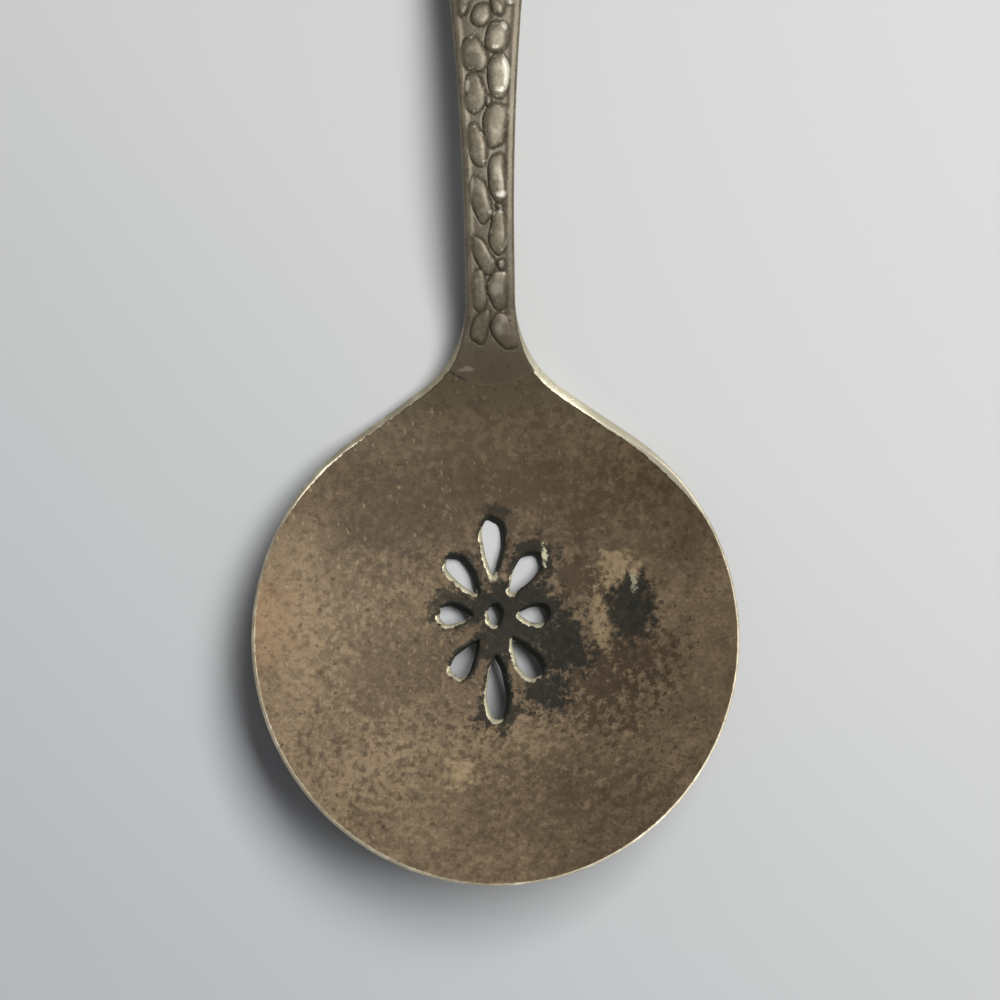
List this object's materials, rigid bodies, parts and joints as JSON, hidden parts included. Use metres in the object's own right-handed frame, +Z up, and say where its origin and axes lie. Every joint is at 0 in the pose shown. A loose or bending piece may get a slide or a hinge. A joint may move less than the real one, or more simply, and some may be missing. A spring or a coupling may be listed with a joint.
{
  "type": "nut spoon",
  "caption": "Small serving spoon for nuts: a shallow round bowl pierced with a petal rosette, soldered at the neck to a slim arched handle with raised pebble ornament.",
  "frame": {"origin": "on the table plane, under the middle of the spoon's length and width (bottom centre of its bounding box)", "axes": "+Z up out of the open bowl, +Y from the bowl towards the end of the handle, +X to the right seen from above with the handle pointing away"},
  "size_m": [0.045, 0.115, 0.0128],
  "materials": {
    "bowl_metal": "satin",
    "handle_metal": "satin",
    "solder": "matte"
  },
  "bodies": {
    "root": {"bowl": "bowl_metal", "handle": "handle_metal", "solder_seam": "solder"}
  },
  "joints": []
}
